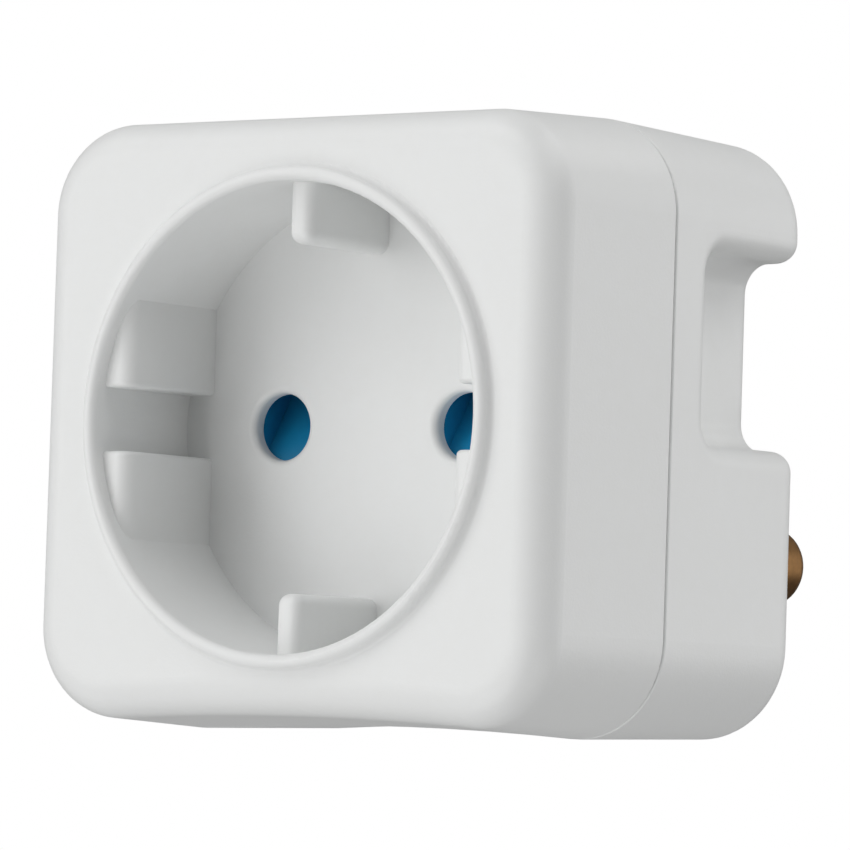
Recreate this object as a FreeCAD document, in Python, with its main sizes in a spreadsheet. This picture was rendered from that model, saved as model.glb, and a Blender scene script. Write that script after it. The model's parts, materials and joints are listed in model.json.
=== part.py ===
# Two-pole travel adapter: a round recessed socket with a child-safety shutter on the front,
# and a plug with two round brass pins and one plastic pin on the back.
# Millimetres. The origin is the middle of the flat rear face that meets the wall outlet.
# +Y points into the wall, along the plug pins. +Z is up. +X is the right-hand side seen from the socket.
# "Depth" below always means the distance in front of the rear face, towards -Y.

import FreeCAD, Part
import Sketcher
import math
import os

# Driving dimensions

DRIVING = {
    # casing
    "casing_width": 55.4,
    "casing_height": 51.5,
    "casing_depth": 36.75,
    "corner_radius": 8.3,
    "front_edge_radius": 3.15,
    "rear_edge_radius": 2.6,
    "front_draft": 0.7,
    "front_side_draft": 1.4,
    "rear_draft": 0.4,
    "underside_radius": 300.0,
    "casing_wall": 2.2,
    "rear_wall": 2.5,
    "seam_from_front": 15.95,
    "seam_gap": 0.12,
    "rim_rounding": 0.2,
    "rim_inset": 1.2,
    "tongue_height": 1.6,
    "tongue_clearance": 0.1,
    # finger notches in the two sides of the rear shell
    "notch_depth": 5.85,
    "notch_to_seam": 5.7,
    "notch_top": 15.1,
    "notch_bottom": -0.9,
    "notch_wall": 2.0,
    "notch_inner_radius": 2.5,
    "notch_front_radius": 2.2,
    "notch_edge_radius": 1.8,
    # socket recess
    "recess_radius": 19.6,
    "recess_depth": 13.1,
    "cup_wall": 1.6,
    "floor_thickness": 1.3,
    "collar_width": 1.2,
    "collar_height": 1.05,
    "collar_bead_share": 0.49,
    "collar_foot_radius": 0.5,
    "collar_foot_margin": 0.02,
    "flat_distance": 16.8,
    "flat_setback": 1.4,
    "flat_rounding": 1.2,
    "guide_slot_width": 5.4,
    "slot_edge_rounding": 0.4,
    "rib_width": 2.5,
    "rib_inner_distance": 14.5,
    "rib_setback": 2.2,
    "rib_rounding": 1.0,
    "hole_pitch": 19.0,
    "hole_radius": 2.85,
    "hole_lead_in": 0.6,
    "inner_hole_clearance": 0.05,
    # plug pins
    "live_pin_offset": 12.7,
    "live_pin_height": -9.9,
    "live_pin_radius": 3.525,
    "live_pin_length": 19.2,
    "live_pin_rounding": 1.4,
    "pin_neck_relief": 0.5,
    "pin_band_length": 1.0,
    "pin_flange_radius": 4.8,
    "pin_flange_thickness": 1.0,
    "pin_hole_clearance": 0.05,
    "opening_pin_height": 18.7,
    "opening_pin_radius": 4.35,
    "opening_pin_length": 26.5,
    "opening_pin_rounding": 1.5,
    "opening_pin_core": 2.6,
    "opening_flange_half_width": 6.5,
    "opening_flange_clearance": 0.1,
    "opening_flange_thickness": 1.8,
    # shutter, its tray and spring
    "shutter_half_length": 13.3,
    "shutter_half_height": 3.5,
    "shutter_thickness": 4.7,
    "shutter_clearance": 0.2,
    "shutter_travel": 6.3,
    "shutter_stop_gap": 0.3,
    "ramp_half_width": 2.9,
    "ramp_lip": 0.6,
    "tray_back": 1.0,
    "tray_wall": 1.5,
    "tray_side_wall": 3.3,
    "spring_pocket_half_width": 2.6,
    "spring_length": 9.6,
    "spring_mean_radius": 1.7,
    "spring_wire": 0.4,
    "spring_turns": 6.0,
    "spring_end_gap": 0.04,
    "shutter_peg_radius": 1.0,
    "shutter_peg_length": 2.2,
    "tray_peg_length": 0.8,
    "locating_peg_radius": 1.0,
    "locating_peg_length": 1.0,
    # contact carrier
    "carrier_plate": 1.2,
    "carrier_side_gap": 2.35,
    "carrier_plate_top": 7.0,
    "carrier_ear_top": 12.5,
    "carrier_ear_width": 7.0,
    "carrier_tongue_half_width": 5.5,
    "carrier_tongue_gap": 1.35,
    "carrier_foot_margin": 1.5,
    "chamber_wall": 1.2,
    "chamber_half_width": 4.3,
    "chamber_half_height": 4.6,
    "core_wall": 1.6,
    "clamp_gap": 0.05,
    "clamp_tube_wall": 1.2,
    "clamp_tube_clearance": 0.4,
    "opening_post_half_width": 3.2,
    "hold_down_radius": 2.5,
    "hold_down_inset": 3.6,
    "hold_down_gap": 0.1,
    # socket contacts and their clips
    "contact_thickness": 0.7,
    "leaf_thickness": 0.6,
    "leaf_half_width": 3.0,
    "leaf_half_gap": 2.8,
    "pinch_half_gap": 2.3,
    "leaf_tip_gap": 0.5,
    "leaf_tip_length": 1.1,
    "pinch_length": 2.7,
    "pinch_slope_length": 2.6,
    "strap_half_width": 2.5,
    "eyelet_radius": 3.8,
    "clip_thickness": 0.5,
    "clip_width": 2.2,
    "clip_clearance": 0.05,
    "clip_hook": 0.7,
    # fasteners
    "housing_screw_inset_x": 9.2,
    "housing_screw_inset_z": 6.8,
    "housing_boss_radius": 3.2,
    "housing_tube_radius": 3.8,
    "housing_seat_depth": 12.0,
    "housing_screw_radius": 1.45,
    "housing_screw_length": 16.0,
    "housing_head_radius": 2.6,
    "housing_head_height": 1.9,
    "housing_thread_hole_depth": 11.0,
    "screw_clearance": 0.15,
    "thread_clearance": 0.05,
    "carrier_screw_z": 9.5,
    "carrier_boss_radius": 2.8,
    "carrier_screw_radius": 1.1,
    "carrier_screw_length": 8.0,
    "carrier_head_radius": 2.2,
    "carrier_head_height": 1.6,
    "pin_screw_radius": 1.5,
    "pin_screw_length": 7.0,
    "pin_head_radius": 2.8,
    "pin_head_height": 2.0,
    "pin_washer_radius": 3.0,
    "pin_washer_thickness": 0.7,
    "screw_head_rounding": 0.5,
    "cross_slot_width": 0.8,
    "cross_slot_depth": 0.9,
    "screw_tip_length": 1.0,
    "overlap": 0.5,
}

FULL_TURN = 360.0
SMALLEST_LENGTH = 1.0e-4

document = FreeCAD.newDocument("plug_adapter")
sheet = document.addObject("Spreadsheet::Sheet", "sizes")
for row, (alias, number) in enumerate(DRIVING.items(), start=1):
    sheet.set("A%d" % row, alias.replace("_", " "))
    sheet.set("B%d" % row, str(number))
    sheet.setAlias("B%d" % row, alias)
document.recompute()


class Size:
    """A length with its number and the spreadsheet formula that gives it."""

    def __init__(self, number, formula):
        self.number = float(number)
        self.formula = formula

    def __add__(self, other):
        other = as_size(other)
        return Size(self.number + other.number, "(%s + %s)" % (self.formula, other.formula))

    def __sub__(self, other):
        other = as_size(other)
        return Size(self.number - other.number, "(%s - %s)" % (self.formula, other.formula))

    def __mul__(self, other):
        other = as_size(other)
        return Size(self.number * other.number, "(%s * %s)" % (self.formula, other.formula))

    def __truediv__(self, other):
        other = as_size(other)
        return Size(self.number / other.number, "(%s / %s)" % (self.formula, other.formula))

    def __neg__(self):
        return self * -1

    def root(self):
        return Size(math.sqrt(self.number), "sqrt(%s)" % self.formula)


def as_size(value):
    if isinstance(value, Size):
        return value
    if value < 0:
        return Size(value, "(0 - %r)" % -value)
    return Size(value, repr(value))


class Sheet:
    """Gives each driving dimension by its name, such as size.casing_width."""

    def __getattr__(self, alias):
        return Size(DRIVING[alias], "sizes.%s" % alias)


size = Sheet()


# Sketches, features and checks that all sub-parts share

def origin_plane(body, role):
    for plane in body.Origin.OriginFeatures:
        if plane.Role == role:
            return plane
    raise ValueError("no plane " + role)


def new_body(label, x=None, z=None):
    body = document.addObject("PartDesign::Body", label)
    body.Label = label
    if x is not None:
        body.setExpression("Placement.Base.x", x.formula)
    if z is not None:
        body.setExpression("Placement.Base.z", z.formula)
    return body


def new_sketch(body, name, distance, role="XZ_Plane"):
    """A sketch at a distance along the plane's normal. The normal of the XZ plane points to -Y."""
    sketch = body.newObject("Sketcher::SketchObject", name)
    sketch.AttachmentSupport = (origin_plane(body, role), [""])
    sketch.MapMode = "FlatFace"
    sketch.setExpression("AttachmentOffset.Base.z", as_size(distance).formula)
    return sketch


def bind_constraint(sketch, kind, *where, size_value):
    index = sketch.addConstraint(Sketcher.Constraint(kind, *where, size_value.number))
    sketch.setExpression("Constraints[%d]" % index, size_value.formula)


def place_point(sketch, geometry, end, x, y):
    bind_constraint(sketch, "DistanceX", -1, 1, geometry, end, size_value=x)
    bind_constraint(sketch, "DistanceY", -1, 1, geometry, end, size_value=y)


def add_circle(sketch, x, y, radius):
    x, y, radius = as_size(x), as_size(y), as_size(radius)
    centre = FreeCAD.Vector(x.number, y.number, 0)
    circle = sketch.addGeometry(Part.Circle(centre, FreeCAD.Vector(0, 0, 1), radius.number), False)
    bind_constraint(sketch, "Radius", circle, size_value=radius)
    place_point(sketch, circle, 3, x, y)


def add_polygon(sketch, points):
    """Straight lines through points, each point bound in both directions."""
    points = [(as_size(x), as_size(y)) for x, y in points]
    vectors = [FreeCAD.Vector(x.number, y.number, 0) for x, y in points]
    lines = []
    for start, end in zip(vectors, vectors[1:] + vectors[:1]):
        lines.append(sketch.addGeometry(Part.LineSegment(start, end), False))
    for line, following in zip(lines, lines[1:] + lines[:1]):
        sketch.addConstraint(Sketcher.Constraint("Coincident", line, 2, following, 1))
    for line, (x, y) in zip(lines, points):
        place_point(sketch, line, 1, x, y)


def add_square_outline(sketch, corners):
    """Level and upright lines in turn, counterclockwise. Each corner is x, y and a radius or None."""
    corners = [(as_size(x), as_size(y), radius) for x, y, radius in corners]
    count = len(corners)
    at = [FreeCAD.Vector(x.number, y.number, 0) for x, y, radius in corners]
    trims = [0.0 if radius is None else as_size(radius).number for x, y, radius in corners]
    lines = []
    for i in range(count):
        j = (i + 1) % count
        way = (at[j] - at[i]).normalize()
        line = Part.LineSegment(at[i] + way * trims[i], at[j] - way * trims[j])
        lines.append(sketch.addGeometry(line, False))
        level = abs(way.x) > abs(way.y)
        sketch.addConstraint(Sketcher.Constraint("Horizontal" if level else "Vertical", lines[i]))
        if level:
            bind_constraint(sketch, "DistanceY", -1, 1, lines[i], 1, size_value=corners[i][1])
        else:
            bind_constraint(sketch, "DistanceX", -1, 1, lines[i], 1, size_value=corners[i][0])
    for i in range(count):
        before, after, radius = lines[i - 1], lines[i], corners[i][2]
        if radius is None:
            sketch.addConstraint(Sketcher.Constraint("Coincident", before, 2, after, 1))
            continue
        way_in = (at[i] - at[i - 1]).normalize()
        way_out = (at[(i + 1) % count] - at[i]).normalize()
        centre = at[i] + (way_out - way_in) * trims[i]
        begin, finish = centre - way_out * trims[i], centre + way_in * trims[i]
        left_turn = way_in.cross(way_out).z > 0
        first, last = (begin, finish) if left_turn else (finish, begin)
        start_angle = math.atan2(first.y - centre.y, first.x - centre.x)
        end_angle = math.atan2(last.y - centre.y, last.x - centre.x)
        circle = Part.Circle(centre, FreeCAD.Vector(0, 0, 1), trims[i])
        arc = sketch.addGeometry(Part.ArcOfCircle(circle, start_angle, end_angle), False)
        sketch.addConstraint(Sketcher.Constraint("Tangent", before, 2, arc, 1 if left_turn else 2))
        sketch.addConstraint(Sketcher.Constraint("Tangent", after, 1, arc, 2 if left_turn else 1))
        bind_constraint(sketch, "Radius", arc, size_value=as_size(radius))


def add_rectangle(sketch, left, right, low, high, radius=None):
    add_square_outline(sketch, [(left, low, radius), (right, low, radius),
                                (right, high, radius), (left, high, radius)])


def pad(body, sketch, length, name, backwards=False):
    """Material from the sketch along its normal, or against it."""
    feature = body.newObject("PartDesign::Pad", name)
    feature.Profile = sketch
    feature.Reversed = backwards
    feature.setExpression("Length", as_size(length).formula)
    return feature


def cut(body, sketch, length, name, along_normal=True):
    """A pocket from the sketch along its normal, or against it."""
    feature = body.newObject("PartDesign::Pocket", name)
    feature.Profile = sketch
    feature.Reversed = along_normal
    feature.setExpression("Length", as_size(length).formula)
    return feature


def turn(body, sketch, name):
    """A revolution about the sketch's upright axis."""
    feature = body.newObject("PartDesign::Revolution", name)
    feature.Profile = sketch
    feature.ReferenceAxis = (sketch, ["V_Axis"])
    feature.Angle = FULL_TURN
    return feature


def round_edges(body, base, radius, name, chosen):
    """A fillet on the edges of the base feature for which chosen(edge) is true."""
    document.recompute()
    names = ["Edge%d" % (i + 1) for i, edge in enumerate(base.Shape.Edges) if chosen(edge)]
    if not names:
        raise ValueError("no edge to round for " + name)
    feature = body.newObject("PartDesign::Fillet", name)
    feature.Base = (base, names)
    feature.setExpression("Radius", as_size(radius).formula)
    document.recompute()
    return feature


def near(a, b, tolerance=0.01):
    return abs(a - b) < tolerance


def lies_at_depth(edge, depth):
    return near(edge.BoundBox.YMin, -depth.number) and near(edge.BoundBox.YMax, -depth.number)


# Places that several sub-parts share

seam_depth = size.casing_depth - size.seam_from_front
notch_length = seam_depth - size.notch_to_seam
notch_x = size.casing_width / 2 - size.notch_depth
notch_wall_x = notch_x - size.notch_wall
shell_cavity_top = size.casing_height / 2 - size.casing_wall - size.rear_draft
collar_top = size.casing_depth + size.collar_height
floor_front = collar_top - size.recess_depth
floor_rear = floor_front - size.floor_thickness
cup_radius = size.recess_radius + size.cup_wall
collar_bead = size.collar_width * size.collar_bead_share
half_pitch = size.hole_pitch / 2
inner_hole = size.hole_radius + size.inner_hole_clearance

pin_seat = size.rear_wall + size.pin_flange_thickness
strap_front = pin_seat + size.contact_thickness
chamber_rear = strap_front + size.clamp_gap
shutter_front = floor_rear - size.shutter_clearance
shutter_rear = shutter_front - size.shutter_thickness
tray_floor = shutter_rear - size.shutter_clearance
plate_front = tray_floor - size.tray_back
plate_rear = plate_front - size.carrier_plate

spring_top = -size.shutter_half_height
spring_bottom = spring_top - size.spring_length
shutter_middle = (shutter_front + shutter_rear) / 2
tray_bottom = spring_bottom - size.tray_wall
tray_inner_bottom = spring_top - size.shutter_travel - size.shutter_stop_gap
tray_shelf = tray_inner_bottom - size.tray_wall
tray_inner_top = size.shutter_half_height + size.shutter_stop_gap
tray_half_width = size.shutter_half_length + size.shutter_clearance + size.tray_side_wall
locating_peg_x = tray_half_width - size.tray_side_wall / 2

carrier_half_width = notch_wall_x - size.carrier_side_gap
carrier_screw_x = carrier_half_width - size.carrier_ear_width / 2
carrier_tongue_top = shell_cavity_top - size.carrier_tongue_gap

boss_face = seam_depth + size.clamp_gap
screw_x = size.casing_width / 2 - size.housing_screw_inset_x
screw_z = size.casing_height / 2 - size.housing_screw_inset_z
SIDES = (("left", -1), ("right", 1))
HEIGHTS = (("lower", -1), ("upper", 1))


def add_corner_arc(sketch, centre, radius, start_angle, end_angle):
    """A counterclockwise arc whose radius is bound. The centre is a pair of sizes, and the angles are degrees."""
    circle = Part.Circle(FreeCAD.Vector(centre[0].number, centre[1].number, 0), FreeCAD.Vector(0, 0, 1),
                         radius.number)
    arc = sketch.addGeometry(Part.ArcOfCircle(circle, math.radians(start_angle), math.radians(end_angle)), False)
    bind_constraint(sketch, "Radius", arc, size_value=radius)
    return arc


def casing_outline(sketch, inset, side_inset=None):
    """The casing at the seam, made smaller by the inset: a rounded rectangle with a shallow arch underneath."""
    inset = as_size(inset)
    half_width = size.casing_width / 2 - (inset if side_inset is None else side_inset)
    half_height = size.casing_height / 2 - inset
    radius = size.corner_radius - inset
    arch_radius = size.underside_radius + inset
    middle_x, middle_y = half_width - radius, half_height - radius
    lean = math.degrees(math.asin(middle_x.number / (arch_radius + radius).number))
    drop = (arch_radius + radius).number * math.cos(math.radians(lean))

    right_low = add_corner_arc(sketch, (middle_x, -middle_y), radius, 270 - lean, 360)
    right_high = add_corner_arc(sketch, (middle_x, middle_y), radius, 0, 90)
    left_high = add_corner_arc(sketch, (-middle_x, middle_y), radius, 90, 180)
    left_low = add_corner_arc(sketch, (-middle_x, -middle_y), radius, 180, 270 + lean)
    for arc in (right_low, left_low):
        bind_constraint(sketch, "DistanceY", -1, 1, arc, 3, size_value=-middle_y)
    x, y = half_width.number, half_height.number
    mid_x, mid_y = middle_x.number, middle_y.number
    right = sketch.addGeometry(Part.LineSegment(FreeCAD.Vector(x, -mid_y, 0), FreeCAD.Vector(x, mid_y, 0)), False)
    top = sketch.addGeometry(Part.LineSegment(FreeCAD.Vector(mid_x, y, 0), FreeCAD.Vector(-mid_x, y, 0)), False)
    left = sketch.addGeometry(Part.LineSegment(FreeCAD.Vector(-x, mid_y, 0), FreeCAD.Vector(-x, -mid_y, 0)), False)
    arch_circle = Part.Circle(FreeCAD.Vector(0, -mid_y - drop, 0), FreeCAD.Vector(0, 0, 1), arch_radius.number)
    arch = sketch.addGeometry(
        Part.ArcOfCircle(arch_circle, math.radians(90 - lean), math.radians(90 + lean)), False)
    sketch.addConstraint(Sketcher.Constraint("Vertical", right))
    sketch.addConstraint(Sketcher.Constraint("Horizontal", top))
    sketch.addConstraint(Sketcher.Constraint("Vertical", left))
    bind_constraint(sketch, "DistanceX", -1, 1, right, 1, size_value=half_width)
    bind_constraint(sketch, "DistanceY", -1, 1, top, 1, size_value=half_height)
    bind_constraint(sketch, "DistanceX", -1, 1, left, 1, size_value=-half_width)
    for first, first_end, second, second_end in (
            (right_low, 2, right, 1), (right, 2, right_high, 1), (right_high, 2, top, 1), (top, 2, left_high, 1),
            (left_high, 2, left, 1), (left, 2, left_low, 1), (left_low, 2, arch, 2), (arch, 1, right_low, 1)):
        sketch.addConstraint(Sketcher.Constraint("Tangent", first, first_end, second, second_end))
    bind_constraint(sketch, "Radius", arch, size_value=arch_radius)


def make_front_cover():
    body = new_body("front_cover")
    rim = seam_depth + size.seam_gap / 2
    rear_outline = new_sketch(body, "front_cover_rim", rim)
    casing_outline(rear_outline, 0)
    front_outline = new_sketch(body, "front_cover_face", size.casing_depth)
    casing_outline(front_outline, size.front_draft, size.front_side_draft)
    block = body.newObject("PartDesign::AdditiveLoft", "front_cover_block")
    block.Profile = rear_outline
    block.Sections = [front_outline]
    block.Ruled = True
    rounded = round_edges(body, block, size.front_edge_radius, "front_cover_rounding",
                          lambda edge: lies_at_depth(edge, size.casing_depth))
    round_edges(body, rounded, size.rim_rounding, "front_cover_rim_rounding",
                lambda edge: lies_at_depth(edge, rim))

    # The collar: a rounded bead on a hollow foot, rooted in the front wall
    collar = new_sketch(body, "collar_profile", 0, "XY_Plane")
    inner, outer = size.recess_radius - size.overlap, size.recess_radius + size.collar_width
    foot_end = outer + size.collar_foot_radius + size.collar_foot_margin
    root = size.casing_wall - size.casing_depth
    add_square_outline(collar, [
        (inner, -collar_top, None), (outer, -collar_top, collar_bead),
        (outer, -size.casing_depth, size.collar_foot_radius), (foot_end, -size.casing_depth, None),
        (foot_end, root, None), (inner, root, None)])
    turn(body, collar, "collar")

    # The hollow, the cup that stands in it, and the recess itself
    cavity_inset = size.casing_wall + size.front_draft
    front_wall_inside = size.casing_depth - size.casing_wall
    hollow = new_sketch(body, "cover_hollow_outline", rim)
    casing_outline(hollow, cavity_inset)
    cut(body, hollow, front_wall_inside - rim, "cover_hollow")
    cup = new_sketch(body, "cup_circle", floor_rear)
    add_circle(cup, 0, 0, cup_radius)
    pad(body, cup, front_wall_inside - floor_rear + size.overlap, "cup")
    recess = new_sketch(body, "recess_circle", floor_front)
    add_circle(recess, 0, 0, size.recess_radius)
    recess_cut = cut(body, recess, size.recess_depth + size.overlap, "recess")
    round_edges(body, recess_cut, collar_bead, "collar_lip",
                lambda edge: lies_at_depth(edge, collar_top)
                and near(edge.BoundBox.XLength, 2 * size.recess_radius.number))

    # Flats at the two sides, each split by the guide slot, rooted in the wall of the cup
    root_radius = size.recess_radius + size.cup_wall / 2
    flat_length = size.recess_depth - size.flat_setback
    for side, sign in SIDES:
        for height, up in HEIGHTS:
            name = "flat_%s_%s" % (height, side)
            sketch = new_sketch(body, name + "_outline", floor_front)
            add_flat_segment(sketch, sign, up, root_radius)
            pad(body, sketch, flat_length, name)
    # Ribs at the top and bottom
    rib_length = size.recess_depth - size.rib_setback
    for height, up in HEIGHTS:
        sketch = new_sketch(body, "rib_%s_outline" % height, floor_front - size.overlap)
        inner, outer = size.rib_inner_distance * up, root_radius * up
        low, high = (inner, outer) if up > 0 else (outer, inner)
        add_rectangle(sketch, -size.rib_width / 2, size.rib_width / 2, low, high)
        last = pad(body, sketch, rib_length + size.overlap, "rib_%s" % height)
    rib_front = floor_front + rib_length
    last = round_edges(body, last, size.rib_rounding, "rib_rounding",
                       lambda edge: is_rib_end(edge, rib_front) or is_rib_ridge(edge))
    flat_front = floor_front + flat_length
    last = round_edges(body, last, size.flat_rounding, "flat_rounding",
                       lambda edge: lies_at_depth(edge, flat_front)
                       and near(abs(edge.CenterOfMass.x), size.flat_distance.number))
    round_edges(body, last, size.slot_edge_rounding, "slot_rounding", is_slot_edge)

    # Pin holes in the floor, with rounded lead-ins
    holes = new_sketch(body, "socket_holes_outline", floor_rear - size.overlap)
    for side, sign in SIDES:
        add_circle(holes, half_pitch * sign, 0, size.hole_radius)
    hole_cut = cut(body, holes, size.floor_thickness + size.overlap * 2, "socket_holes")
    round_edges(body, hole_cut, size.hole_lead_in, "hole_lead_ins",
                lambda edge: lies_at_depth(edge, floor_front)
                and near(edge.BoundBox.XLength, 2 * size.hole_radius.number))

    # Screw bosses in the four corners, and the post that holds the carrier down
    bosses = new_sketch(body, "screw_bosses_outline", boss_face)
    for side, sign in SIDES:
        for height, up in HEIGHTS:
            add_circle(bosses, screw_x * sign, screw_z * up, size.housing_boss_radius)
    pad(body, bosses, front_wall_inside - boss_face + size.overlap, "screw_bosses")
    threads = new_sketch(body, "thread_holes_outline", boss_face)
    for side, sign in SIDES:
        for height, up in HEIGHTS:
            add_circle(threads, screw_x * sign, screw_z * up,
                       size.housing_screw_radius + size.thread_clearance)
    cut(body, threads, size.housing_thread_hole_depth, "thread_holes")
    post = new_sketch(body, "hold_down_outline", plate_front + size.hold_down_gap)
    add_circle(post, 0, carrier_tongue_top - size.hold_down_inset, size.hold_down_radius)
    pad(body, post, floor_rear - plate_front - size.hold_down_gap + size.overlap, "hold_down_post")

    # The tongue that centres the rear shell
    tongue = new_sketch(body, "tongue_outline", seam_depth - size.tongue_height)
    casing_outline(tongue, size.rim_inset)
    casing_outline(tongue, cavity_inset)
    pad(body, tongue, size.tongue_height + size.seam_gap / 2 + size.overlap, "tongue")
    return body


def is_rib_end(edge, rib_front):
    """The edges round the front end of a rib, without the one on the wall of the recess."""
    off_the_wall = abs(edge.CenterOfMass.z) < (size.recess_radius - size.rib_rounding).number
    return lies_at_depth(edge, rib_front) and off_the_wall


def is_rib_ridge(edge):
    """The two long inner edges of a rib."""
    centre = edge.CenterOfMass
    on_ridge = near(abs(centre.z), size.rib_inner_distance.number)
    return on_ridge and near(abs(centre.x), (size.rib_width / 2).number)


def is_slot_edge(edge):
    """The four long edges between a flat and the guide slot."""
    centre = edge.CenterOfMass
    on_flat = near(abs(centre.x), size.flat_distance.number)
    return on_flat and near(abs(centre.z), (size.guide_slot_width / 2).number)


def add_flat_segment(sketch, sign, up, radius):
    """The part of a circle beyond the flat, from the guide slot to where flat and circle meet."""
    flat_x = size.flat_distance * sign
    slot_z = size.guide_slot_width / 2 * up
    far_z = (radius * radius - size.flat_distance * size.flat_distance).root() * up
    far_x = (radius * radius - slot_z * slot_z).root() * sign
    corner = FreeCAD.Vector(flat_x.number, slot_z.number, 0)
    top = FreeCAD.Vector(flat_x.number, far_z.number, 0)
    outer = FreeCAD.Vector(far_x.number, slot_z.number, 0)
    upright = sketch.addGeometry(Part.LineSegment(corner, top), False)
    level = sketch.addGeometry(Part.LineSegment(corner, outer), False)
    angles = [math.atan2(outer.y, outer.x), math.atan2(top.y, top.x)]
    outer_first = sign * up > 0
    start_angle, end_angle = angles if outer_first else reversed(angles)
    circle = Part.Circle(FreeCAD.Vector(0, 0, 0), FreeCAD.Vector(0, 0, 1), radius.number)
    arc = sketch.addGeometry(Part.ArcOfCircle(circle, start_angle, end_angle), False)
    sketch.addConstraint(Sketcher.Constraint("Coincident", upright, 1, level, 1))
    sketch.addConstraint(Sketcher.Constraint("Coincident", level, 2, arc, 1 if outer_first else 2))
    sketch.addConstraint(Sketcher.Constraint("Coincident", upright, 2, arc, 2 if outer_first else 1))
    sketch.addConstraint(Sketcher.Constraint("Coincident", arc, 3, -1, 1))
    sketch.addConstraint(Sketcher.Constraint("Vertical", upright))
    sketch.addConstraint(Sketcher.Constraint("Horizontal", level))
    bind_constraint(sketch, "Radius", arc, size_value=radius)
    place_point(sketch, upright, 1, flat_x, slot_z)


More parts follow.
